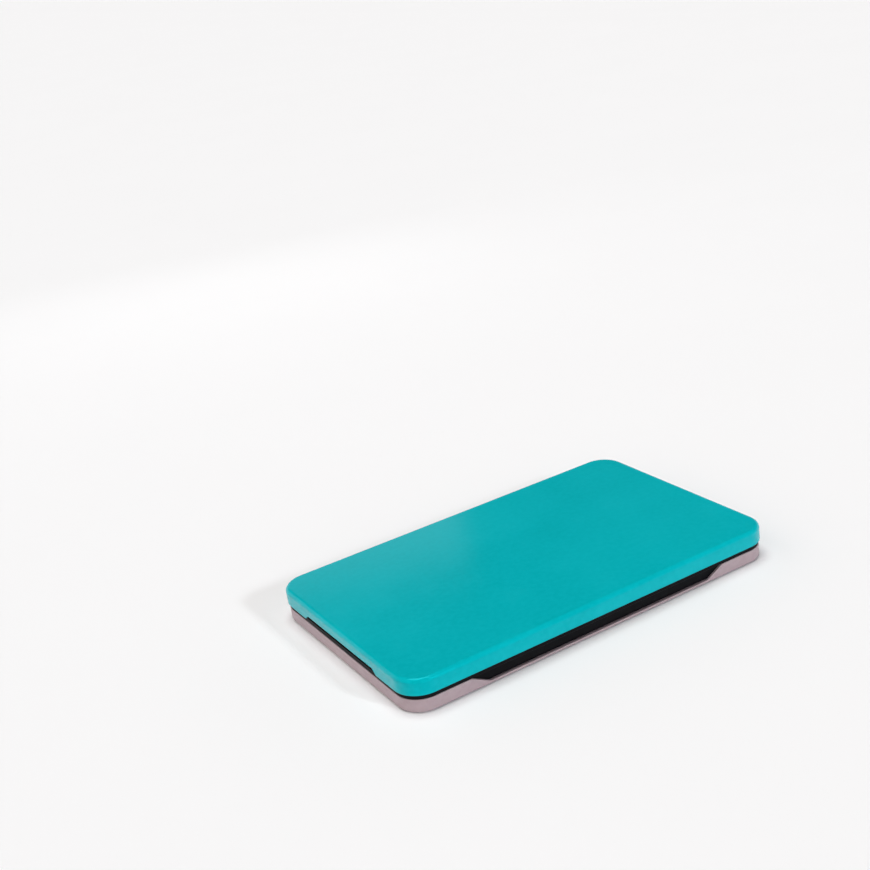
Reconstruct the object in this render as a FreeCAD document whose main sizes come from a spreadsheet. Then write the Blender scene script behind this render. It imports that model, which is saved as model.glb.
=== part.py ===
import FreeCAD, Part
import os

import Sketcher

# Wet palette: a lid that lifts off a shallow base, which holds a water tray, a sponge under a sheet and
# a strip of mixing wells. +X runs along the long side, +Y to the back and +Z up. The origin is on the
# ground, under the middle of the case. Every length is in millimetres.

# Driving sizes
SIZES = {
    # Case outline, seen from above
    "case_length": 240.0,
    "case_width": 150.0,
    "corner_radius": 15.0,
    # Lid
    "lid_height": 9.3,
    "lid_wall": 2.2,
    "lid_top": 2.2,
    "lid_edge_round": 2.4,
    "lid_rim_round": 0.4,
    "lid_ceiling_round": 1.0,
    "channel_width": 2.6,
    "rib_wall": 1.2,
    "rib_reach": 1.0,
    # Finger notches in the lid's rim, one on each short side
    "lid_notch_length": 81.0,
    "lid_notch_slope": 3.5,
    "lid_notch_depth": 2.7,
    "lid_notch_round": 0.8,
    # Seal in the lid's channel
    "seal_height": 2.4,
    "seal_clearance": 0.1,
    "seal_round": 0.5,
    # Base shell
    "base_inset": 0.9,
    "base_wall": 1.3,
    "base_floor": 1.2,
    "base_height": 7.4,
    "base_edge_round": 1.0,
    # Finger notches in the base shell, one on each long side
    "base_notch_length": 167.0,
    "base_notch_slope": 11.0,
    "base_notch_rise": 0.4,
    "base_notch_round": 0.8,
    "base_rim_round": 0.3,
    # Water tray
    "tray_gap": 0.5,
    "tray_wall": 1.6,
    "tray_floor": 1.5,
    "tray_edge_round": 1.2,
    "tray_floor_round": 2.0,
    "flange_thickness": 2.7,
    "flange_setback": 0.3,
    "flange_round": 0.3,
    "lip_height": 3.8,
    "lip_round": 0.4,
    # Feet
    "foot_diameter": 14.0,
    "foot_proud": 0.6,
    "foot_seat": 0.6,
    "foot_clearance": 0.15,
    "foot_inset": 20.0,
    "foot_round": 0.3,
    # Sponge and the sheet on it
    "sponge_gap": 1.0,
    "sponge_thickness": 6.0,
    "sponge_top_round": 1.2,
    "sheet_thickness": 0.3,
    "sheet_margin": 1.5,
    # Strip of mixing wells
    "mini_width": 40.0,
    "mini_wall": 1.4,
    "mini_plate": 1.4,
    "mini_headroom": 0.9,
    "mini_clearance": 0.3,
    "mini_edge_round": 0.8,
    "well_count": 4,
    "well_gap": 7.0,
    "well_end_margin": 8.0,
    "well_side_margin": 6.0,
    "well_slant": 9.0,
    "well_lift": 1.0,
    "well_corner_round": 3.0,
    "well_floor_round": 1.5,
    "well_mouth_round": 0.5,
}

# Sizes that follow from the driving ones, as sheet formulas
DERIVED = {
    "lid_rest": "foot_proud + base_height + flange_thickness",
    "rib_inset": "lid_wall + channel_width",
    "hollow_inset": "rib_inset + rib_wall",
    "lid_notch_root": "lid_notch_length - 2 * lid_notch_slope",
    "hollow_depth": "lid_height - lid_top",
    "channel_depth": "lip_height + seal_height",
    "mouth_depth": "lip_height - rib_reach",
    "base_inner_inset": "base_inset + base_wall",
    "base_notch_sill": "base_floor + base_notch_rise",
    "base_notch_root": "base_notch_length - 2 * base_notch_slope",
    "tray_inset": "base_inner_inset + tray_gap",
    "tray_inner_inset": "tray_inset + tray_wall",
    "tray_rest": "foot_proud + base_floor",
    "flange_level": "base_height - base_floor",
    "flange_inset": "base_inset + flange_setback",
    "tray_height": "flange_level + flange_thickness + lip_height",
    "tray_depth": "tray_height - tray_floor",
    "tray_inside_rest": "tray_rest + tray_floor",
    "foot_x": "case_length / 2 - base_inset - foot_inset",
    "foot_y": "case_width / 2 - base_inset - foot_inset",
    "mini_inset": "tray_inner_inset + tray_floor_round + mini_clearance",
    "mini_length": "case_width - 2 * mini_inset",
    "mini_height": "tray_depth - rib_reach - mini_headroom",
    "mini_x": "case_length / 2 - mini_inset - mini_width / 2",
    "well_pitch": "(mini_length - 2 * well_end_margin - well_slant + well_gap) / well_count",
    "well_width": "well_pitch - well_gap",
    "well_length": "mini_width - 2 * well_side_margin",
    "well_depth": "mini_height - well_lift - mini_wall",
    "sponge_inset": "tray_inner_inset + sponge_gap",
    "sponge_left": "sponge_inset - case_length / 2",
    "sponge_right": "case_length / 2 - mini_inset - mini_width - sponge_gap",
    "sponge_length": "sponge_right - sponge_left",
    "sponge_width": "case_width - 2 * sponge_inset",
    "sponge_x": "(sponge_left + sponge_right) / 2",
    "sponge_corner": "corner_radius - sponge_inset",
}

UP = FreeCAD.Vector(0, 0, 1)
NEAR = 1e-4

doc = FreeCAD.newDocument("wet_palette")
sheet = doc.addObject("Spreadsheet::Sheet", "Sizes")


def fill_sheet():
    """Write the driving sizes as numbers and the derived ones as formulas, each under its alias."""
    cells = {name: str(value) for name, value in SIZES.items()}
    cells.update({name: "=" + formula for name, formula in DERIVED.items()})
    for row, (name, text) in enumerate(cells.items(), start=1):
        sheet.set(f"A{row}", name)
        sheet.setAlias(f"B{row}", name)
        sheet.set(f"B{row}", text)
    doc.recompute()


def size(name):
    """Value of a sheet cell."""
    return float(sheet.get(name))


def new_body(name, x="0", y="0", z="0"):
    """Start a sub-part whose own origin stands at x, y, z."""
    body = doc.addObject("PartDesign::Body", name)
    body.Label = name
    for axis, expression in zip("xyz", (x, y, z)):
        body.setExpression(f"Placement.Base.{axis}", expression)
    return body


def new_sketch(body, name, level="0", role="XY_Plane"):
    """Start a sketch on one of the body's own planes, lifted off it by level."""
    sketch = body.newObject("Sketcher::SketchObject", f"{body.Name}_{name}_sketch")
    plane = next(item for item in body.Origin.OriginFeatures if item.Role == role)
    sketch.AttachmentSupport = [(plane, "")]
    sketch.MapMode = "FlatFace"
    sketch.setExpression("AttachmentOffset.Base.z", level)
    return sketch


def drive(sketch, name, expression, *constraint):
    """Add a constraint and tie its value to an expression."""
    index = sketch.addConstraint(Sketcher.Constraint(*constraint))
    sketch.renameConstraint(index, name)
    sketch.setExpression(f"Constraints.{name}", expression)


def rounded_rectangle(sketch, length, width, radius):
    """Draw a closed rounded rectangle about the sketch's origin."""
    half_x = sketch.evalExpression(f"({length}) / 2")
    half_y = sketch.evalExpression(f"({width}) / 2")
    corner = sketch.evalExpression(radius)
    first = sketch.GeometryCount
    quarter = FreeCAD.Units.parseQuantity("90 deg").getValueAs("rad").Value
    signs = ((1, 1), (-1, 1), (-1, -1), (1, -1))
    arcs = []
    for turn, (side_x, side_y) in enumerate(signs):
        centre = FreeCAD.Vector(side_x * (half_x - corner), side_y * (half_y - corner), 0)
        circle = Part.Circle(centre, UP, corner)
        arcs.append(Part.ArcOfCircle(circle, turn * quarter, (turn + 1) * quarter))
    for turn, arc in enumerate(arcs):
        following = arcs[(turn + 1) % len(arcs)]
        sketch.addGeometry(arc, False)
        sketch.addGeometry(Part.LineSegment(arc.EndPoint, following.StartPoint), False)
    count = 2 * len(arcs)
    for step in range(count):
        this = first + step
        after = first + (step + 1) % count
        sketch.addConstraint(Sketcher.Constraint("Tangent", this, 2, after, 1))
    back, left, front, right = (first + step for step in range(1, count, 2))
    for line in (back, front):
        sketch.addConstraint(Sketcher.Constraint("Horizontal", line))
    for line in (left, right):
        sketch.addConstraint(Sketcher.Constraint("Vertical", line))
    for turn in range(1, len(arcs)):
        sketch.addConstraint(Sketcher.Constraint("Equal", first, first + 2 * turn))
    tag = f"outline{first}"
    drive(sketch, f"{tag}_radius", radius, "Radius", first, corner)
    drive(sketch, f"{tag}_length", length, "DistanceX", left, 1, right, 1, 2 * half_x)
    drive(sketch, f"{tag}_width", width, "DistanceY", front, 1, back, 1, 2 * half_y)
    drive(sketch, f"{tag}_right", f"({length}) / 2", "DistanceX", -1, 1, right, 1, half_x)
    drive(sketch, f"{tag}_back", f"({width}) / 2", "DistanceY", -1, 1, back, 1, half_y)


def case_outline(sketch, inset):
    """Draw the case's outline, drawn in by inset all round."""
    rounded_rectangle(
        sketch,
        f"Sizes.case_length - 2 * ({inset})",
        f"Sizes.case_width - 2 * ({inset})",
        f"Sizes.corner_radius - ({inset})",
    )


def polygon(sketch, corners):
    """Draw a closed polygon whose corners are pairs of expressions."""
    points = []
    for across, along in corners:
        points.append(FreeCAD.Vector(sketch.evalExpression(across), sketch.evalExpression(along), 0))
    first = sketch.GeometryCount
    count = len(points)
    for step, point in enumerate(points):
        sketch.addGeometry(Part.LineSegment(point, points[(step + 1) % count]), False)
    for step in range(count):
        this = first + step
        after = first + (step + 1) % count
        sketch.addConstraint(Sketcher.Constraint("Coincident", this, 2, after, 1))
    for step, (point, (across, along)) in enumerate(zip(points, corners)):
        line = first + step
        drive(sketch, f"corner{step}_across", across, "DistanceX", -1, 1, line, 1, point.x)
        drive(sketch, f"corner{step}_along", along, "DistanceY", -1, 1, line, 1, point.y)


def notch(sketch, length, root_length, rim, root):
    """Draw a notch with slanted ends, from the rim's height to the root's height."""
    polygon(
        sketch,
        (
            (f"-{root_length} / 2", root),
            (f"{root_length} / 2", root),
            (f"{length} / 2", rim),
            (f"-{length} / 2", rim),
        ),
    )


def circle(sketch, across, along, diameter):
    """Draw a circle whose centre and diameter are expressions."""
    centre = FreeCAD.Vector(sketch.evalExpression(across), sketch.evalExpression(along), 0)
    width = sketch.evalExpression(diameter)
    index = sketch.addGeometry(Part.Circle(centre, UP, width / 2), False)
    drive(sketch, f"circle{index}_across", across, "DistanceX", -1, 1, index, 3, centre.x)
    drive(sketch, f"circle{index}_along", along, "DistanceY", -1, 1, index, 3, centre.y)
    drive(sketch, f"circle{index}_diameter", diameter, "Diameter", index, width)


def pad(body, sketch, name, length, downward=False):
    """Add material from a sketch."""
    feature = body.newObject("PartDesign::Pad", f"{body.Name}_{name}")
    feature.Profile = sketch
    feature.Reversed = downward
    feature.setExpression("Length", length)
    doc.recompute()
    return feature


def pocket(body, sketch, name, depth=None, upward=False):
    """Cut a sketch out of the body, to a depth or right through both ways, and see that it cut."""
    before = body.Shape.Volume
    feature = body.newObject("PartDesign::Pocket", f"{body.Name}_{name}")
    feature.Profile = sketch
    if depth is None:
        feature.SideType = "Symmetric"
        feature.Type = "ThroughAll"
    else:
        feature.Reversed = upward
        feature.setExpression("Length", depth)
    doc.recompute()
    if not body.Shape.Volume < before:
        raise RuntimeError(f"{feature.Name} removed nothing")
    return feature


def round_edges(body, feature, name, radius, wanted):
    """Round the edges of a feature for which wanted(edge) is true."""
    names = [f"Edge{step}" for step, edge in enumerate(feature.Shape.Edges, start=1) if wanted(edge)]
    if not names:
        raise RuntimeError(f"{body.Name} has no edge for {name}")
    fillet = body.newObject("PartDesign::Fillet", f"{body.Name}_{name}")
    fillet.Base = (feature, names)
    fillet.setExpression("Radius", radius)
    doc.recompute()
    return fillet


def lies_at(edge, level):
    """True for an edge that lies flat at this height of its body."""
    box = edge.BoundBox
    return abs(box.ZMin - level) < NEAR and abs(box.ZMax - level) < NEAR


def stands(edge):
    """True for a straight edge along Z."""
    box = edge.BoundBox
    return box.XLength < NEAR and box.YLength < NEAR


def reach(edge):
    """How far an edge comes within the case outline, measured along Y or X at its outermost place."""
    box = edge.BoundBox
    across = size("case_length") / 2 - max(abs(box.XMin), abs(box.XMax))
    along = size("case_width") / 2 - max(abs(box.YMin), abs(box.YMax))
    return min(across, along)


def make_lid_shell():
    """Lid: flat top, rounded edge, and underneath a mouth, a channel for the seal and a hollow."""
    body = new_body("lid_shell", z="Sizes.lid_rest")
    sketch = new_sketch(body, "outline")
    case_outline(sketch, "0")
    block = pad(body, sketch, "block", "Sizes.lid_height")
    top = size("lid_height")
    round_edges(body, block, "edge", "Sizes.lid_edge_round", lambda item: lies_at(item, top))
    sketch = new_sketch(body, "notches", role="YZ_Plane")
    notch(sketch, "Sizes.lid_notch_length", "Sizes.lid_notch_root", "0", "Sizes.lid_notch_depth")
    notches = pocket(body, sketch, "notches")
    root = size("lid_notch_depth")
    long_way = size("case_length")

    def notch_corner(item):
        box = item.BoundBox
        return abs(box.XLength - long_way) < NEAR and box.YLength < NEAR and box.ZMax < root + NEAR

    corners = round_edges(body, notches, "notch_corners", "Sizes.lid_notch_round", notch_corner)

    def outer_rim(item):
        return reach(item) < NEAR and item.BoundBox.ZMax < root + NEAR

    round_edges(body, corners, "rim", "Sizes.lid_rim_round", outer_rim)
    sketch = new_sketch(body, "mouth")
    case_outline(sketch, "Sizes.lid_wall")
    pocket(body, sketch, "mouth", "Sizes.mouth_depth", upward=True)
    sketch = new_sketch(body, "channel")
    case_outline(sketch, "Sizes.lid_wall")
    case_outline(sketch, "Sizes.rib_inset")
    pocket(body, sketch, "channel", "Sizes.channel_depth", upward=True)
    sketch = new_sketch(body, "hollow")
    case_outline(sketch, "Sizes.hollow_inset")
    hollow = pocket(body, sketch, "hollow", "Sizes.hollow_depth", upward=True)
    ceiling = size("hollow_depth")
    round_edges(body, hollow, "ceiling", "Sizes.lid_ceiling_round", lambda item: lies_at(item, ceiling))
    return body


def make_lid_seal():
    """Soft ring in the lid's channel; its flat underside closes on the tray's lip."""
    body = new_body("lid_seal", z="Sizes.lid_rest + Sizes.lip_height")
    sketch = new_sketch(body, "ring")
    case_outline(sketch, "Sizes.lid_wall + Sizes.seal_clearance")
    case_outline(sketch, "Sizes.rib_inset - Sizes.seal_clearance")
    ring = pad(body, sketch, "ring", "Sizes.seal_height")
    round_edges(body, ring, "lower_edges", "Sizes.seal_round", lambda item: lies_at(item, 0))
    return body


def make_base_shell():
    """Outer shell of the base: low walls with finger notches, and seats for the feet below."""
    body = new_body("base_shell", z="Sizes.foot_proud")
    sketch = new_sketch(body, "outline")
    case_outline(sketch, "Sizes.base_inset")
    block = pad(body, sketch, "block", "Sizes.base_height")
    round_edges(body, block, "edge", "Sizes.base_edge_round", lambda item: lies_at(item, 0))
    sketch = new_sketch(body, "inside", "Sizes.base_height")
    case_outline(sketch, "Sizes.base_inner_inset")
    pocket(body, sketch, "inside", "Sizes.base_height - Sizes.base_floor")
    sketch = new_sketch(body, "notches", role="XZ_Plane")
    notch(sketch, "Sizes.base_notch_length", "Sizes.base_notch_root", "Sizes.base_height", "Sizes.base_notch_sill")
    pocket(body, sketch, "notches")
    sketch = new_sketch(body, "foot_seats")
    for side_x in ("-", ""):
        for side_y in ("-", ""):
            seat = "Sizes.foot_diameter + 2 * Sizes.foot_clearance"
            circle(sketch, f"{side_x}Sizes.foot_x", f"{side_y}Sizes.foot_y", seat)
    seats = pocket(body, sketch, "foot_seats", "Sizes.foot_seat", upward=True)
    wall = size("base_wall")
    floor = size("base_floor")

    def notch_corner(item):
        box = item.BoundBox
        through = sorted((box.XLength, box.YLength, box.ZLength))
        return through[1] < NEAR and abs(through[2] - wall) < NEAR and box.ZMin > floor

    corners = round_edges(body, seats, "notch_corners", "Sizes.base_notch_round", notch_corner)
    outside = size("base_inset")
    sill = size("base_notch_sill")

    def outer_rim(item):
        return abs(reach(item) - outside) < NEAR and item.BoundBox.ZMin > sill - NEAR and not stands(item)

    round_edges(body, corners, "rim", "Sizes.base_rim_round", outer_rim)
    return body


def make_water_tray():
    """Tray: its flange rests on the base shell and carries the lid, its lip meets the seal."""
    body = new_body("water_tray", z="Sizes.tray_rest")
    sketch = new_sketch(body, "wall")
    case_outline(sketch, "Sizes.tray_inset")
    block = pad(body, sketch, "wall", "Sizes.tray_height")
    lower = round_edges(body, block, "edge", "Sizes.tray_edge_round", lambda item: lies_at(item, 0))
    top = size("tray_height")
    round_edges(body, lower, "lip_outside", "Sizes.lip_round", lambda item: lies_at(item, top))
    sketch = new_sketch(body, "flange", "Sizes.flange_level")
    case_outline(sketch, "Sizes.flange_inset")
    case_outline(sketch, "Sizes.tray_inset + Sizes.tray_wall / 2")
    flange = pad(body, sketch, "flange", "Sizes.flange_thickness")
    outside = size("flange_inset")

    def flange_edge(item):
        return abs(reach(item) - outside) < NEAR and not stands(item)

    round_edges(body, flange, "flange_edge", "Sizes.flange_round", flange_edge)
    sketch = new_sketch(body, "inside", "Sizes.tray_height")
    case_outline(sketch, "Sizes.tray_inner_inset")
    inside = pocket(body, sketch, "inside", "Sizes.tray_depth")
    floor = size("tray_floor")
    rounded = round_edges(body, inside, "floor", "Sizes.tray_floor_round", lambda item: lies_at(item, floor))
    inner = size("tray_inner_inset")

    def lip_inside(item):
        return lies_at(item, top) and reach(item) > inner - NEAR

    round_edges(body, rounded, "lip_inside", "Sizes.lip_round", lip_inside)
    return body


def make_foot(name, side_x, side_y):
    """Soft disc let into the base shell, standing proud of it."""
    body = new_body(name, f"{side_x}Sizes.foot_x", f"{side_y}Sizes.foot_y")
    sketch = new_sketch(body, "disc")
    circle(sketch, "0", "0", "Sizes.foot_diameter")
    disc = pad(body, sketch, "disc", "Sizes.foot_proud + Sizes.foot_seat")
    round_edges(body, disc, "lower_edge", "Sizes.foot_round", lambda item: lies_at(item, 0))
    return body


def make_feet():
    """The four feet, under the corners."""
    feet = []
    for depth, side_y in (("front", "-"), ("back", "")):
        for hand, side_x in (("left", "-"), ("right", "")):
            feet.append(make_foot(f"{depth}_{hand}_foot", side_x, side_y))
    return feet


def make_hydration_sponge():
    """Flat sponge that fills the tray beside the strip of wells."""
    body = new_body("hydration_sponge", "Sizes.sponge_x", z="Sizes.tray_inside_rest")
    sketch = new_sketch(body, "outline")
    rounded_rectangle(sketch, "Sizes.sponge_length", "Sizes.sponge_width", "Sizes.sponge_corner")
    block = pad(body, sketch, "block", "Sizes.sponge_thickness")
    lower = round_edges(body, block, "lower_edge", "Sizes.tray_floor_round", lambda item: lies_at(item, 0))
    top = size("sponge_thickness")
    round_edges(body, lower, "upper_edge", "Sizes.sponge_top_round", lambda item: lies_at(item, top))
    return body


def make_membrane_sheet():
    """Sheet laid on the sponge, a little smaller than it."""
    level = "Sizes.tray_inside_rest + Sizes.sponge_thickness"
    body = new_body("membrane_sheet", "Sizes.sponge_x", z=level)
    sketch = new_sketch(body, "outline")
    rounded_rectangle(
        sketch,
        "Sizes.sponge_length - 2 * Sizes.sheet_margin",
        "Sizes.sponge_width - 2 * Sizes.sheet_margin",
        "Sizes.sponge_corner - Sizes.sheet_margin",
    )
    pad(body, sketch, "sheet", "Sizes.sheet_thickness")
    return body


def well_outline(sketch, margin):
    """Draw the first well, a slanted four-sided outline, made larger by margin all round."""
    start = "Sizes.well_end_margin - Sizes.mini_length / 2"
    half = f"(Sizes.well_length / 2 + {margin})"
    lean = f"(Sizes.well_slant * {margin} / Sizes.well_length)"
    end = f"{start} + Sizes.well_width"
    polygon(
        sketch,
        (
            (f"-{half}", f"{start} - {margin} - {lean}"),
            (f"{half}", f"{start} + Sizes.well_slant - {margin} + {lean}"),
            (f"{half}", f"{end} + Sizes.well_slant + {margin} + {lean}"),
            (f"-{half}", f"{end} + {margin} - {lean}"),
        ),
    )


def make_mini_palette():
    """Strip with a row of slanted wells, hollow below, standing on the tray's floor."""
    body = new_body("mini_palette", "Sizes.mini_x", z="Sizes.tray_inside_rest")
    corner = "Sizes.corner_radius - Sizes.mini_inset"
    sketch = new_sketch(body, "outline")
    rounded_rectangle(sketch, "Sizes.mini_width", "Sizes.mini_length", corner)
    block = pad(body, sketch, "block", "Sizes.mini_height")
    top = size("mini_height")
    round_edges(body, block, "edge", "Sizes.mini_edge_round", lambda item: lies_at(item, top))
    sketch = new_sketch(body, "underside")
    rounded_rectangle(
        sketch,
        "Sizes.mini_width - 2 * Sizes.mini_wall",
        "Sizes.mini_length - 2 * Sizes.mini_wall",
        f"{corner} - Sizes.mini_wall",
    )
    pocket(body, sketch, "underside", "Sizes.mini_height - Sizes.mini_plate", upward=True)
    sketch = new_sketch(body, "cup", "Sizes.mini_height - Sizes.mini_plate")
    well_outline(sketch, "Sizes.mini_wall")
    cup = pad(body, sketch, "cup", "Sizes.well_depth + Sizes.mini_wall - Sizes.mini_plate", downward=True)
    sketch = new_sketch(body, "well", "Sizes.mini_height")
    well_outline(sketch, "0")
    well = pocket(body, sketch, "well", "Sizes.well_depth")
    row = body.newObject("PartDesign::LinearPattern", "mini_palette_row")
    row.Originals = [cup, well]
    row.Direction = (next(item for item in body.Origin.OriginFeatures if item.Role == "Y_Axis"), [""])
    row.setExpression("Length", "Sizes.well_pitch * (Sizes.well_count - 1)")
    row.setExpression("Occurrences", "Sizes.well_count")
    body.Tip = row
    doc.recompute()
    bottom = top - size("well_depth")

    def well_corner(item):
        box = item.BoundBox
        return stands(item) and abs(box.ZMin - bottom) < NEAR and abs(box.ZMax - top) < NEAR

    corners = round_edges(body, row, "well_corners", "Sizes.well_corner_round", well_corner)
    wells = round_edges(body, corners, "floors", "Sizes.well_floor_round", lambda item: lies_at(item, bottom))
    edge = size("mini_width") / 2 - size("well_side_margin") + NEAR

    def well_mouth(item):
        box = item.BoundBox
        return lies_at(item, top) and max(abs(box.XMin), abs(box.XMax)) < edge

    round_edges(body, wells, "well_mouths", "Sizes.well_mouth_round", well_mouth)
    return body


def check_document():
    """Stop if any object of the document failed."""
    for item in doc.Objects:
        if "Invalid" in item.State or "Error" in item.State:
            raise RuntimeError(f"{item.Name} failed: {item.State}")


def write_parts(parts):
    """Check each sub-part and write it under its own name."""
    os.makedirs("parts", exist_ok=True)
    for part in parts:
        shape = part.Shape
        if shape.isNull() or not shape.isValid() or len(shape.Solids) != 1:
            raise RuntimeError(f"{part.Label} is not one sound solid")
    for part in parts:
        box = part.Shape.optimalBoundingBox()
        low = f"{box.XMin:.2f} {box.YMin:.2f} {box.ZMin:.2f}"
        high = f"{box.XMax:.2f} {box.YMax:.2f} {box.ZMax:.2f}"
        print(f"{part.Label}: {part.Shape.Volume:.0f} mm3, {low} to {high}")
        part.Shape.exportStep(f"parts/{part.Label}.step")


fill_sheet()
sub_parts = [make_lid_shell(), make_lid_seal(), make_base_shell(), make_water_tray()]
sub_parts += make_feet()
sub_parts += [make_hydration_sponge(), make_membrane_sheet(), make_mini_palette()]
doc.recompute()
check_document()
write_parts(sub_parts)
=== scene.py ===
# Wet palette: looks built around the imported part. Lengths are in metres, in the part's own frame.

import math

import bmesh
import bpy
from mathutils import Matrix, Vector


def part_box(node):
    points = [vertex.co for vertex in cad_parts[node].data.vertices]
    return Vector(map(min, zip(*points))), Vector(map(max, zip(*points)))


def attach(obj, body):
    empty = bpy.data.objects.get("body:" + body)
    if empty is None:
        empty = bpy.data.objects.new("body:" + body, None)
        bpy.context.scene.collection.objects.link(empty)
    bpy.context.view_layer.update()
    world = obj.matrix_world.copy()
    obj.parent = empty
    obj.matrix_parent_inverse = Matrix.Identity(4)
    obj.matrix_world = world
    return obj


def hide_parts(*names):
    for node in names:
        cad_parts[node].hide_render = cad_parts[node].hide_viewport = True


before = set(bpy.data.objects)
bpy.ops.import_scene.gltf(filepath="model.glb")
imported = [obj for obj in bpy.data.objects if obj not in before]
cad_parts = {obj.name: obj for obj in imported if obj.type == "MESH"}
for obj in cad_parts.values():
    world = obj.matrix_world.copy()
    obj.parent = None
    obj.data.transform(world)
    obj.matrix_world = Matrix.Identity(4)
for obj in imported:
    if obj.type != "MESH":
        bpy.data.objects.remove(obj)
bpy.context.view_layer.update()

MM = 0.001
SAME_PLACE = MM / 100

# Camera, fitted to the edges of the case, with its angles in degrees
IMAGE_SIDE = 870
SENSOR = 36.0
FOCAL_PIXELS = 1346.8
VIEW_AZIMUTH = -28.413
VIEW_ELEVATION = 21.422
VIEW_ROLL = -8.521
CAMERA_PLACE = Vector((-360.61, -585.99, 369.04)) * MM
CLIP_START = 0.01
CLIP_END = 200.0

# Light: a cool key lamp at the front right, a warmer broad lamp overhead, a small soft box behind the case,
# and a pale backdrop that stands higher and is warmer on the left
KEY_DIRECTION = Vector((0.30, -0.86, 0.412))
KEY_COLOUR = (0.93, 0.98, 1.0)
KEY_STRENGTH = 0.33 * math.pi
KEY_ANGLE = math.radians(7)
TOP_DIRECTION = Vector((-0.02, 0.06, 0.998))
TOP_COLOUR = (1.0, 0.985, 0.955)
TOP_STRENGTH = 0.62 * math.pi
TOP_ANGLE = math.radians(38)
SOFT_BOX_PLACE = Vector((0.18, 0.90, 0.337))
SOFT_BOX_AIM = Vector((-0.06, 0.06, 0.02))
SOFT_BOX_LENGTH = 0.50
SOFT_BOX_HEIGHT = 0.26
SOFT_BOX_POWER = 0.175
BACKDROP_COLOUR = (0.94, 0.94, 0.955, 1.0)
BACKDROP_LEFT_COLOUR = (0.94, 0.84, 0.76, 1.0)
CEILING_COLOUR = (0.015, 0.015, 0.016, 1.0)
BACKDROP_TOP = math.sin(math.radians(11))
CEILING_START = math.sin(math.radians(20))
FLOOR_SIDE = 60.0

# Sponge
SPONGE_CORNER = 9.7 * MM
SPONGE_CORNER_CUTS = 10
SPONGE_TOP_ROUND = 1.2 * MM
SPONGE_TOP_CUTS = 3
SPONGE_LOWER_ROUND = 2.0 * MM
SPONGE_LOWER_CUTS = 4
SPONGE_VOXEL = 1.5 * MM
SPONGE_RELAX_SHARE = 0.5
SPONGE_RELAX_ROUNDS = 2
SPONGE_UNEVEN = 0.35 * MM
SPONGE_UNEVEN_SCALE = 5.0 * MM
SPONGE_UNEVEN_DEPTH = 2

# Sheet, with the waves that the damp gives it
SHEET_CORNER = 8.2 * MM
SHEET_STEP = 2.0 * MM
SHEET_LIFT = 0.06 * MM
SHEET_THICKNESS = 0.12 * MM
SHEET_SMOOTH_ANGLE = math.radians(40)
COCKLE_HEIGHT = 0.28 * MM
COCKLE_LONG = 31.0 * MM
COCKLE_LONG_SWAY = 1.3
COCKLE_ACROSS = 23.0 * MM
COCKLE_ACROSS_SWAY = 0.9


# Mesh helpers


def deselect_all():
    """Leave nothing selected in object mode."""
    bpy.ops.object.select_all(action="DESELECT")


def select_edges(piece, wanted):
    """In edit mode, select the edges for which wanted(edge) is true."""
    bpy.ops.mesh.select_mode(type="EDGE")
    bpy.ops.mesh.select_all(action="DESELECT")
    shape = bmesh.from_edit_mesh(piece.data)
    for edge in shape.edges:
        edge.select_set(wanted(edge))
    bmesh.update_edit_mesh(piece.data)


def flat_at(level):
    """A test for edges that lie flat at a height."""
    return lambda edge: all(abs(corner.co.z - level) < SAME_PLACE for corner in edge.verts)


def upright(edge):
    """True for an edge along Z."""
    run = edge.verts[1].co - edge.verts[0].co
    return abs(run.x) < SAME_PLACE and abs(run.y) < SAME_PLACE


def apply_modifiers(piece):
    """Apply every modifier of the active piece, in order."""
    for modifier in list(piece.modifiers):
        bpy.ops.object.modifier_apply(modifier=modifier.name)


# Pieces


def make_sponge():
    """Cut foam slab in the place of the sponge's solid: rounded, and a little uneven all over."""
    low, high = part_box("hydration_sponge")
    centre = (low + high) / 2
    deselect_all()
    bpy.ops.mesh.primitive_cube_add(size=1, location=centre)
    piece = bpy.context.active_object
    piece.name = "sponge_slab"
    piece.scale = high - low
    bpy.ops.object.transform_apply(location=True, rotation=True, scale=True)
    rounds = (
        (upright, SPONGE_CORNER, SPONGE_CORNER_CUTS),
        (flat_at(high.z), SPONGE_TOP_ROUND, SPONGE_TOP_CUTS),
        (flat_at(low.z), SPONGE_LOWER_ROUND, SPONGE_LOWER_CUTS),
    )
    bpy.ops.object.mode_set(mode="EDIT")
    for wanted, offset, cuts in rounds:
        select_edges(piece, wanted)
        bpy.ops.mesh.bevel(offset=offset, segments=cuts, affect="EDGES")
    bpy.ops.object.mode_set(mode="OBJECT")
    remesh = piece.modifiers.new("even_mesh", "REMESH")
    remesh.mode = "VOXEL"
    remesh.voxel_size = SPONGE_VOXEL
    relax = piece.modifiers.new("relax", "SMOOTH")
    relax.factor = SPONGE_RELAX_SHARE
    relax.iterations = SPONGE_RELAX_ROUNDS
    lumps = bpy.data.textures.new("foam_lumps", type="CLOUDS")
    lumps.noise_scale = SPONGE_UNEVEN_SCALE
    lumps.noise_depth = SPONGE_UNEVEN_DEPTH
    # With its middle at 1 the displacement only sinks, so the foam stays inside its solid
    uneven = piece.modifiers.new("uneven", "DISPLACE")
    uneven.texture = lumps
    uneven.texture_coords = "LOCAL"
    uneven.mid_level = 1.0
    uneven.strength = SPONGE_UNEVEN
    apply_modifiers(piece)
    bpy.ops.object.shade_smooth()
    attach(piece, "base")
    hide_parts("hydration_sponge")
    return piece


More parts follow.
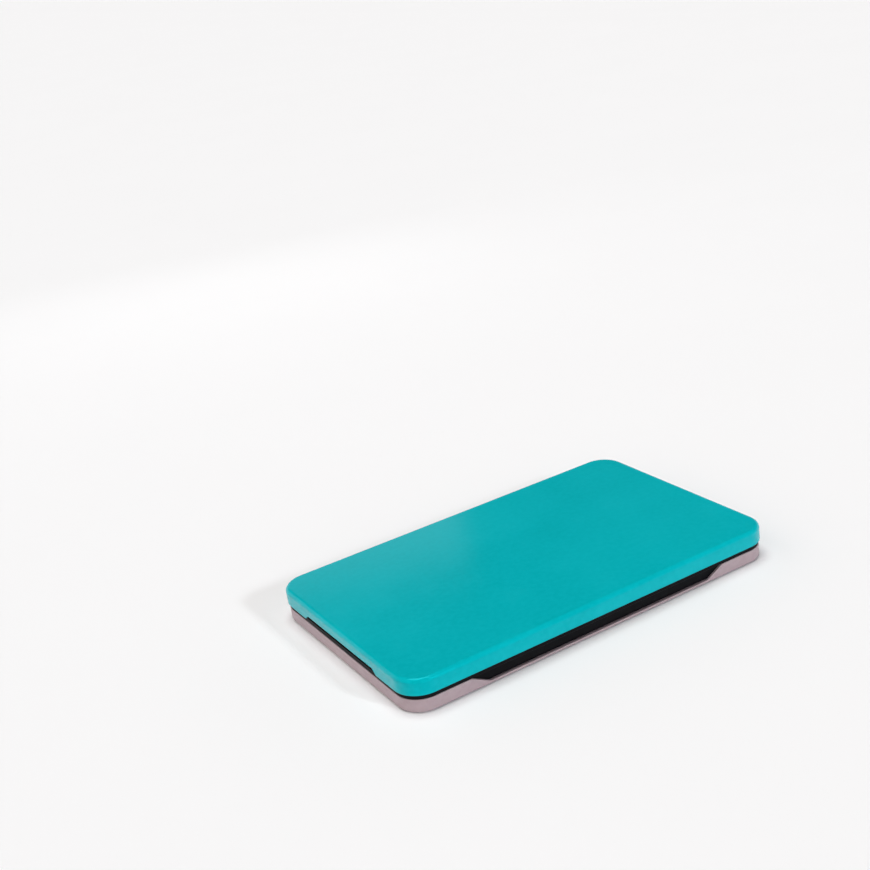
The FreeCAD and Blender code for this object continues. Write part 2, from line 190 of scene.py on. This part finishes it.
def round_corner(offset, reach, radius):
    """Move a point of a square corner patch so that the patch becomes a quarter disc."""
    past = Vector((abs(offset.x) - reach.x + radius, abs(offset.y) - reach.y + radius))
    if past.x <= 0 or past.y <= 0:
        return offset
    shrink = max(past.x, past.y) / past.length
    x = math.copysign(reach.x - radius + past.x * shrink, offset.x)
    y = math.copysign(reach.y - radius + past.y * shrink, offset.y)
    return Vector((x, y))


def cockle(place):
    """How far damp paper stands off the sponge at a place, from 0 to 1: two waves that cross and sway."""
    long_sway = COCKLE_LONG_SWAY * math.sin(place.y / COCKLE_ACROSS)
    across_sway = COCKLE_ACROSS_SWAY * math.sin(place.x / COCKLE_LONG)
    along = math.sin(2 * math.pi * place.x / COCKLE_LONG + long_sway)
    across = math.sin(2 * math.pi * place.y / COCKLE_ACROSS + across_sway)
    return (2 + along + across) / 4


def make_membrane():
    """Thin paper sheet with round corners, laid on the sponge and slightly cockled by the damp."""
    low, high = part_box("membrane_sheet")
    span = high - low
    centre = (low + high) / 2
    reach = Vector((span.x / 2, span.y / 2))
    deselect_all()
    bpy.ops.mesh.primitive_grid_add(
        x_subdivisions=round(span.x / SHEET_STEP),
        y_subdivisions=round(span.y / SHEET_STEP),
        size=1,
        location=(centre.x, centre.y, low.z + SHEET_LIFT),
    )
    piece = bpy.context.active_object
    piece.name = "membrane_paper_sheet"
    piece.scale = (span.x, span.y, 1)
    bpy.ops.object.transform_apply(location=True, rotation=True, scale=True)
    for point in piece.data.vertices:
        offset = Vector((point.co.x - centre.x, point.co.y - centre.y))
        place = round_corner(offset, reach, SHEET_CORNER)
        point.co.x = centre.x + place.x
        point.co.y = centre.y + place.y
        point.co.z += COCKLE_HEIGHT * cockle(place)
    thick = piece.modifiers.new("thickness", "SOLIDIFY")
    thick.thickness = SHEET_THICKNESS
    thick.offset = 1
    apply_modifiers(piece)
    bpy.ops.object.shade_smooth_by_angle(angle=SHEET_SMOOTH_ANGLE)
    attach(piece, "base")
    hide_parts("membrane_sheet")
    return piece


# Shader helpers

UNIT = (0.0, 1.0)
NO_TURN = (0.0, 0.0, 0.0)

# Sockets of a Mix node that is set to colours
MIX_SHARE = 0
MIX_FIRST = 6
MIX_SECOND = 7
MIX_RESULT = 2


def add(tree, kind, **settings):
    """Add a node and set its own properties."""
    made = tree.nodes.new(kind)
    for name, value in settings.items():
        setattr(made, name, value)
    return made


def feed(tree, node, name, source):
    """Link a socket into a node's input, or set the input where a plain value is given."""
    if isinstance(source, bpy.types.NodeSocket):
        tree.links.new(source, node.inputs[name])
    else:
        node.inputs[name].default_value = source


def own_places(tree):
    """Places on the piece, in its own frame."""
    return add(tree, "ShaderNodeTexCoord").outputs["Object"]


def stretch(tree, where, scale, turn=NO_TURN):
    """Places scaled along each axis and turned, for a pattern that runs one way."""
    made = add(tree, "ShaderNodeMapping")
    feed(tree, made, "Vector", where)
    feed(tree, made, "Scale", scale)
    feed(tree, made, "Rotation", turn)
    return made.outputs["Vector"]


def noise(tree, where, scale, detail=3.0, roughness=0.55):
    """Noise over the piece, as a value from 0 to 1."""
    made = add(tree, "ShaderNodeTexNoise")
    feed(tree, made, "Vector", where)
    feed(tree, made, "Scale", scale)
    feed(tree, made, "Detail", detail)
    feed(tree, made, "Roughness", roughness)
    return made.outputs["Fac"]


def spread(tree, value, taken, given=UNIT, bend="LINEAR"):
    """Map a value from one range to another and keep it inside."""
    made = add(tree, "ShaderNodeMapRange", interpolation_type=bend)
    feed(tree, made, "Value", value)
    ends = ("From Min", "From Max", "To Min", "To Max")
    for name, limit in zip(ends, taken + given):
        feed(tree, made, name, limit)
    return made.outputs["Result"]


def combine(tree, first, second, operation="MULTIPLY"):
    """Combine two values, as their product where nothing else is asked for."""
    made = add(tree, "ShaderNodeMath", operation=operation)
    for place, source in enumerate((first, second)):
        feed(tree, made, place, source)
    return made.outputs["Value"]


def blend_colours(tree, share, first, second):
    """Mix two colours by a share."""
    made = add(tree, "ShaderNodeMix", data_type="RGBA")
    feed(tree, made, MIX_SHARE, share)
    feed(tree, made, MIX_FIRST, first)
    feed(tree, made, MIX_SECOND, second)
    return made.outputs[MIX_RESULT]


# Shader groups: scales are in waves per metre, and a range is the part of a noise that is used

GRAIN_SCALE = 900.0
GRAIN_DETAIL = 2.0
COARSE_SHARE = 0.33
SPECKLE_RANGE = (0.36, 0.64)
MOTTLE_SCALE = 22.0
MOTTLE_DETAIL = 4.0
MOTTLE_RANGE = (0.33, 0.67)

EDGE_RADIUS = 0.7 * MM
EDGE_SAMPLES = 6
EDGE_TURN_RANGE = (0.995, 0.90)
BROKEN_SCALE = 160.0
BROKEN_DETAIL = 4.0
BROKEN_RANGE = (0.40, 0.62)

PATCH_SCALE = 45.0
PATCH_DETAIL = 6.0
PATCH_ROUGHNESS = 0.65
PATCH_RANGE = (0.55, 0.80)
SCUFF_SCALE = 30.0
SCUFF_DETAIL = 2.0
SCUFF_STRETCH = (1.0, 14.0, 1.0)
SCUFF_TURN = (0.0, 0.0, 0.5)
SCUFF_RANGE = (0.66, 0.74)


def new_group(name, inputs, outputs):
    """Start a shader group with named value inputs and outputs."""
    tree = bpy.data.node_groups.new(name, "ShaderNodeTree")
    for label, value in inputs.items():
        socket = tree.interface.new_socket(label, in_out="INPUT", socket_type="NodeSocketFloat")
        socket.default_value = value
    for label in outputs:
        tree.interface.new_socket(label, in_out="OUTPUT", socket_type="NodeSocketFloat")
    entry = add(tree, "NodeGroupInput")
    leave = add(tree, "NodeGroupOutput")
    return tree, entry.outputs, leave, own_places(tree)


def make_grain_group():
    """Moulded texture: a fine spark-eroded grain with a broad, faint mottle under it."""
    inputs = {"Grain Scale": GRAIN_SCALE, "Mottle Scale": MOTTLE_SCALE}
    tree, given, leave, where = new_group("moulded_grain", inputs, ("Height", "Speckle", "Mottle"))
    fine = noise(tree, where, given["Grain Scale"], detail=GRAIN_DETAIL)
    coarse_scale = combine(tree, given["Grain Scale"], COARSE_SHARE)
    coarse = noise(tree, where, coarse_scale, detail=GRAIN_DETAIL)
    both = combine(tree, fine, coarse, "ADD")
    mean_height = combine(tree, both, 0.5)
    mottle = noise(tree, where, given["Mottle Scale"], detail=MOTTLE_DETAIL)
    feed(tree, leave, "Height", mean_height)
    feed(tree, leave, "Speckle", spread(tree, coarse, SPECKLE_RANGE))
    feed(tree, leave, "Mottle", spread(tree, mottle, MOTTLE_RANGE))
    return tree


def make_edge_group():
    """Wear along edges: a broken mask where the surface turns within a radius."""
    inputs = {"Radius": EDGE_RADIUS, "Broken Scale": BROKEN_SCALE}
    tree, given, leave, where = new_group("edge_wear", inputs, ("Mask",))
    bevel = add(tree, "ShaderNodeBevel", samples=EDGE_SAMPLES)
    feed(tree, bevel, "Radius", given["Radius"])
    surface = add(tree, "ShaderNodeNewGeometry")
    meet = add(tree, "ShaderNodeVectorMath", operation="DOT_PRODUCT")
    for place, source in enumerate((bevel, surface)):
        feed(tree, meet, place, source.outputs["Normal"])
    turn = spread(tree, meet.outputs["Value"], EDGE_TURN_RANGE)
    broken = noise(tree, where, given["Broken Scale"], detail=BROKEN_DETAIL)
    feed(tree, leave, "Mask", combine(tree, turn, spread(tree, broken, BROKEN_RANGE)))
    return tree


def make_dust_group():
    """Dust and handling marks: soft patches and a few fine scuffs."""
    inputs = {"Patch Scale": PATCH_SCALE, "Scuff Scale": SCUFF_SCALE}
    tree, given, leave, where = new_group("handling_marks", inputs, ("Dust", "Scuff"))
    patches = noise(tree, where, given["Patch Scale"], PATCH_DETAIL, PATCH_ROUGHNESS)
    along_scuffs = stretch(tree, where, SCUFF_STRETCH, SCUFF_TURN)
    lines = noise(tree, along_scuffs, given["Scuff Scale"], detail=SCUFF_DETAIL)
    feed(tree, leave, "Dust", spread(tree, patches, PATCH_RANGE))
    feed(tree, leave, "Scuff", spread(tree, lines, SCUFF_RANGE))
    return tree


GRAIN = make_grain_group()
EDGE = make_edge_group()
DUST = make_dust_group()


# Materials


def grey(value):
    """A neutral colour."""
    return (value, value, value, 1.0)


PLAIN_FINISH = {
    "grain": GRAIN_SCALE,
    "mottle": MOTTLE_SCALE,
    "edge_radius": EDGE_RADIUS,
    "broken": BROKEN_SCALE,
    "patch": PATCH_SCALE,
    "speckle": 0.25,
    "dust": 0.04,
    "dust_colour": grey(0.55),
    "wear": 0.25,
    "roughness": (0.36, 0.44),
    "specular": 0.3,
    "gloss_tint": grey(1.0),
    "scuff": 0.03,
    "bump": 0.25,
    "bump_height": 0.15 * MM,
}

LID_FINISH = {
    **PLAIN_FINISH,
    "dark": (0.0004, 0.408, 0.463, 1.0),
    "light": (0.0008, 0.440, 0.502, 1.0),
    "fleck": (0.004, 0.482, 0.546, 1.0),
    "dust_colour": (0.04, 0.43, 0.46, 1.0),
    "wear_colour": (0.02, 0.48, 0.53, 1.0),
    "speckle": 0.35,
    "wear": 0.12,
    "roughness": (0.12, 0.155),
    "scuff": 0.012,
    "specular": 0.5,
    "gloss_tint": (0.0, 0.75, 0.85, 1.0),
}

SHELL_FINISH = {
    **PLAIN_FINISH,
    "dark": (0.368, 0.276, 0.309, 1.0),
    "light": (0.430, 0.328, 0.358, 1.0),
    "fleck": (0.48, 0.39, 0.42, 1.0),
    "wear_colour": (0.56, 0.49, 0.51, 1.0),
    "roughness": (0.36, 0.46),
    "specular": 0.5,
}

TRAY_FINISH = {
    **PLAIN_FINISH,
    "dark": (0.0040, 0.0040, 0.0052, 1.0),
    "light": (0.0058, 0.0056, 0.0070, 1.0),
    "fleck": (0.010, 0.010, 0.012, 1.0),
    "dust_colour": grey(0.04),
    "wear_colour": grey(0.022),
    "roughness": (0.44, 0.54),
    "specular": 0.06,
}

SEAL_FINISH = {
    **PLAIN_FINISH,
    "dark": grey(0.030),
    "light": grey(0.040),
    "fleck": grey(0.055),
    "dust_colour": grey(0.10),
    "wear_colour": grey(0.07),
    "roughness": (0.62, 0.74),
    "specular": 0.35,
    "grain": 1400.0,
}

FOOT_FINISH = {
    **SEAL_FINISH,
    "dark": grey(0.024),
    "light": grey(0.034),
    "roughness": (0.70, 0.82),
    "grain": 1100.0,
    "bump": 0.4,
    "dust": 0.12,
}

STRIP_FINISH = {
    **PLAIN_FINISH,
    "dark": (0.78, 0.78, 0.76, 1.0),
    "light": (0.83, 0.83, 0.81, 1.0),
    "fleck": (0.86, 0.86, 0.84, 1.0),
    "dust_colour": (0.66, 0.65, 0.62, 1.0),
    "wear_colour": (0.88, 0.88, 0.87, 1.0),
    "roughness": (0.29, 0.36),
    "specular": 0.5,
    "bump": 0.08,
    "dust": 0.10,
}

FOAM_FINISH = {
    "dark": (0.66, 0.55, 0.26, 1.0),
    "light": (0.76, 0.66, 0.36, 1.0),
    "grain": 700.0,
    "mottle": 35.0,
    # Painted shade: the dark colour given to the pores stands in for the shade inside their hollows, not a
    # colour of the foam
    "pore_shade_colour": (0.30, 0.22, 0.08, 1.0),
    "pore_scale": 520.0,
    "pore_range": (0.10, 0.42),
    "pore_fall": (1.0, 0.0),
    "depth_scale": 420.0,
    "depth_detail": 2.0,
    "depth_range": (0.40, 0.60),
    "depth": (0.3, 1.0),
    "roughness": (0.84, 0.94),
    "specular": 0.2,
    "sheen": 0.15,
    "bump": 0.6,
    "bump_height": 0.6 * MM,
}

PAPER_FINISH = {
    "dark": (0.70, 0.69, 0.63, 1.0),
    "light": (0.86, 0.85, 0.81, 1.0),
    "fibre_scale": 420.0,
    "fibre_detail": 5.0,
    "fibre_roughness": 0.7,
    "fibre_stretch": (1.0, 6.0, 1.0),
    "fibre_range": (0.36, 0.64),
    "damp": 0.6,
    "damp_colour": (0.62, 0.58, 0.46, 1.0),
    "damp_scale": 26.0,
    "damp_detail": 5.0,
    "damp_range": (0.42, 0.62),
    "roughness": (0.78, 0.55),
    "specular": 0.3,
    "bump": 0.35,
    "bump_height": 0.12 * MM,
}

FLOOR_FINISH = {
    "dark": (0.918, 0.925, 0.950, 1.0),
    "light": (0.931, 0.938, 0.963, 1.0),
    "tone_scale": 5.0,
    "roughness": (0.85, 0.95),
    "specular": 0.1,
}


def use(tree, group, **values):
    """Place a shared group in a material with its own values."""
    made = add(tree, "ShaderNodeGroup", node_tree=group)
    for name, value in values.items():
        made.inputs[name.replace("_", " ")].default_value = value
    return made.outputs


def new_material(name):
    """Start a material and give its tree and its Principled shader."""
    material = bpy.data.materials.new(name)
    material.use_nodes = True
    tree = material.node_tree
    return material, tree, tree.nodes["Principled BSDF"]


def bump(tree, shader, height, finish):
    """Raise the surface by a height map, as the finish says."""
    made = add(tree, "ShaderNodeBump")
    feed(tree, made, "Height", height)
    feed(tree, made, "Strength", finish["bump"])
    feed(tree, made, "Distance", finish["bump_height"])
    feed(tree, shader, "Normal", made.outputs["Normal"])


def make_moulded(name, finish):
    """Moulded plastic or rubber: mottled colour, speckle, worn edges, dust and a grained surface."""
    material, tree, shader = new_material(name)
    grain = use(tree, GRAIN, Grain_Scale=finish["grain"], Mottle_Scale=finish["mottle"])
    edge = use(tree, EDGE, Radius=finish["edge_radius"], Broken_Scale=finish["broken"])
    marks = use(tree, DUST, Patch_Scale=finish["patch"])
    colour = blend_colours(tree, grain["Mottle"], finish["dark"], finish["light"])
    layers = (
        (grain["Speckle"], "speckle", "fleck"),
        (marks["Dust"], "dust", "dust_colour"),
        (edge["Mask"], "wear", "wear_colour"),
    )
    for mask, share, tint in layers:
        cover = combine(tree, mask, finish[share])
        colour = blend_colours(tree, cover, colour, finish[tint])
    feed(tree, shader, "Base Color", colour)
    rough = spread(tree, grain["Mottle"], UNIT, finish["roughness"])
    scuffs = combine(tree, marks["Scuff"], finish["scuff"])
    feed(tree, shader, "Roughness", combine(tree, rough, scuffs, "ADD"))
    feed(tree, shader, "Specular IOR Level", finish["specular"])
    feed(tree, shader, "Specular Tint", finish["gloss_tint"])
    bump(tree, shader, grain["Height"], finish)
    return material


def make_foam(name, finish):
    """Open-cell foam: pale yellow, with pores that are sunk by bump and painted darker as shade in their
    hollows, the deeper pores with more painted shade.
    """
    material, tree, shader = new_material(name)
    where = own_places(tree)
    pores = add(tree, "ShaderNodeTexVoronoi", feature="F1")
    feed(tree, pores, "Vector", where)
    feed(tree, pores, "Scale", finish["pore_scale"])
    hole = spread(tree, pores.outputs["Distance"], finish["pore_range"], finish["pore_fall"])
    uneven = noise(tree, where, finish["depth_scale"], detail=finish["depth_detail"])
    hole = combine(tree, hole, spread(tree, uneven, finish["depth_range"], finish["depth"]))
    broad = use(tree, GRAIN, Grain_Scale=finish["grain"], Mottle_Scale=finish["mottle"])
    foam = blend_colours(tree, broad["Mottle"], finish["dark"], finish["light"])
    # Painted shade: the pore mask blends the foam toward the dark pore colour, darker where a pore is sunk
    # deeper
    feed(tree, shader, "Base Color", blend_colours(tree, hole, foam, finish["pore_shade_colour"]))
    feed(tree, shader, "Roughness", spread(tree, broad["Mottle"], UNIT, finish["roughness"]))
    feed(tree, shader, "Specular IOR Level", finish["specular"])
    feed(tree, shader, "Sheen Weight", finish["sheen"])
    bump(tree, shader, combine(tree, broad["Height"], hole, "SUBTRACT"), finish)
    return material


def make_paper(name, finish):
    """Membrane paper: fibrous, warm white, and blotched where it has taken up water."""
    material, tree, shader = new_material(name)
    where = own_places(tree)
    along_fibres = stretch(tree, where, finish["fibre_stretch"])
    fibres = noise(
        tree,
        along_fibres,
        finish["fibre_scale"],
        detail=finish["fibre_detail"],
        roughness=finish["fibre_roughness"],
    )
    strands = spread(tree, fibres, finish["fibre_range"])
    blotches = noise(tree, where, finish["damp_scale"], detail=finish["damp_detail"])
    damp = spread(tree, blotches, finish["damp_range"])
    dry_colour = blend_colours(tree, strands, finish["dark"], finish["light"])
    damp_share = combine(tree, damp, finish["damp"])
    paper = blend_colours(tree, damp_share, dry_colour, finish["damp_colour"])
    feed(tree, shader, "Base Color", paper)
    feed(tree, shader, "Roughness", spread(tree, damp, UNIT, finish["roughness"]))
    feed(tree, shader, "Specular IOR Level", finish["specular"])
    bump(tree, shader, strands, finish)
    return material


def make_floor_finish(name, finish):
    """Plain pale studio floor with a barely visible unevenness."""
    material, tree, shader = new_material(name)
    tone = noise(tree, own_places(tree), finish["tone_scale"])
    feed(tree, shader, "Base Color", blend_colours(tree, tone, finish["dark"], finish["light"]))
    feed(tree, shader, "Roughness", spread(tree, tone, UNIT, finish["roughness"]))
    feed(tree, shader, "Specular IOR Level", finish["specular"])
    return material


def dress(piece, material):
    """Give a piece one material."""
    if not piece.material_slots:
        piece.data.materials.append(material)
    for slot in piece.material_slots:
        slot.material = material


def dress_frame():
    """Materials of the carried nodes."""
    finishes = {
        "teal_lid_plastic": (LID_FINISH, ("lid_shell",)),
        "warm_grey_shell_plastic": (SHELL_FINISH, ("base_shell",)),
        "black_tray_plastic": (TRAY_FINISH, ("water_tray",)),
        "dark_seal_rubber": (SEAL_FINISH, ("lid_seal",)),
        "black_foot_rubber": (
            FOOT_FINISH,
            ("front_left_foot", "front_right_foot", "back_left_foot", "back_right_foot"),
        ),
        "white_strip_plastic": (STRIP_FINISH, ("mini_palette",)),
    }
    for name, (finish, nodes) in finishes.items():
        material = make_moulded(name, finish)
        for node in nodes:
            dress(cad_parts[node], material)


# Studio


def make_floor():
    """Wide plain floor."""
    deselect_all()
    bpy.ops.mesh.primitive_plane_add(size=FLOOR_SIDE, location=(0, 0, 0))
    floor = bpy.context.active_object
    floor.name = "studio_floor"
    dress(floor, make_floor_finish("pale_floor", FLOOR_FINISH))


def put_in_scene(name, data):
    """Put a lamp or a camera into the scene."""
    holder = bpy.data.objects.new(name, data)
    bpy.context.scene.collection.objects.link(holder)
    return holder


def shine_from(holder, direction):
    """Turn a lamp so that its light comes from a direction."""
    holder.rotation_mode = "QUATERNION"
    holder.rotation_quaternion = direction.to_track_quat("Z", "Y")


def make_lamp(name, direction, colour, strength, angle):
    """Far lamp that shines from a direction, as broad as its angle."""
    lamp = bpy.data.lights.new(name, "SUN")
    lamp.color = colour
    lamp.energy = strength
    lamp.angle = angle
    shine_from(put_in_scene(name, lamp), direction)


def make_soft_box():
    """Small soft box behind the case, for the sheen at the back left of the lid's top."""
    lamp = bpy.data.lights.new("soft_box", "AREA")
    lamp.shape = "RECTANGLE"
    lamp.size = SOFT_BOX_LENGTH
    lamp.size_y = SOFT_BOX_HEIGHT
    lamp.energy = SOFT_BOX_POWER
    holder = put_in_scene("soft_box", lamp)
    holder.location = SOFT_BOX_PLACE
    holder.visible_camera = False
    shine_from(holder, SOFT_BOX_PLACE - SOFT_BOX_AIM)


def make_surround():
    """Pale backdrop round the horizon, higher and warmer on the left, that fades into a dim ceiling."""
    world = bpy.data.worlds.new("studio_surround")
    world.use_nodes = True
    tree = world.node_tree
    parts = add(tree, "ShaderNodeSeparateXYZ")
    feed(tree, parts, "Vector", add(tree, "ShaderNodeTexCoord").outputs["Generated"])
    # X is below zero on the left, so adding it there lets the backdrop reach higher
    left_fall = combine(tree, parts.outputs["X"], 0.0, "MINIMUM")
    leftness = combine(tree, left_fall, -1.0)
    height = combine(tree, parts.outputs["Z"], left_fall, "ADD")
    fade = spread(tree, height, (BACKDROP_TOP, CEILING_START), bend="SMOOTHSTEP")
    backdrop = blend_colours(tree, leftness, BACKDROP_COLOUR, BACKDROP_LEFT_COLOUR)
    surround = blend_colours(tree, fade, backdrop, CEILING_COLOUR)
    feed(tree, tree.nodes["Background"], "Color", surround)
    bpy.context.scene.world = world


def make_light():
    """The lamps and the backdrop."""
    make_lamp("key_lamp", KEY_DIRECTION, KEY_COLOUR, KEY_STRENGTH, KEY_ANGLE)
    make_lamp("top_lamp", TOP_DIRECTION, TOP_COLOUR, TOP_STRENGTH, TOP_ANGLE)
    make_soft_box()
    make_surround()


def make_camera():
    """Camera at the photograph's place, turned to its view and rolled."""
    azimuth = math.radians(VIEW_AZIMUTH)
    elevation = math.radians(VIEW_ELEVATION)
    roll = math.radians(VIEW_ROLL)
    level = math.cos(elevation)
    back = Vector((math.sin(azimuth) * level, -math.cos(azimuth) * level, math.sin(elevation)))
    right = (-back).cross(Vector((0, 0, 1))).normalized()
    up = right.cross(-back)
    turned_right = math.cos(roll) * right + math.sin(roll) * up
    turned_up = math.cos(roll) * up - math.sin(roll) * right
    turn = Matrix((turned_right, turned_up, back)).transposed()
    data = bpy.data.cameras.new("photo_camera")
    data.sensor_width = SENSOR
    data.lens = FOCAL_PIXELS * SENSOR / IMAGE_SIDE
    data.clip_start = CLIP_START
    data.clip_end = CLIP_END
    camera = put_in_scene("photo_camera", data)
    camera.matrix_world = Matrix.Translation(CAMERA_PLACE) @ turn.to_4x4()
    bpy.context.scene.camera = camera


bpy.context.scene.view_settings.view_transform = "Standard"
make_camera()
make_light()
make_floor()
dress_frame()
sponge_slab = make_sponge()
dress(sponge_slab, make_foam("sponge_foam", FOAM_FINISH))
dress(make_membrane(), make_paper("membrane_paper", PAPER_FINISH))
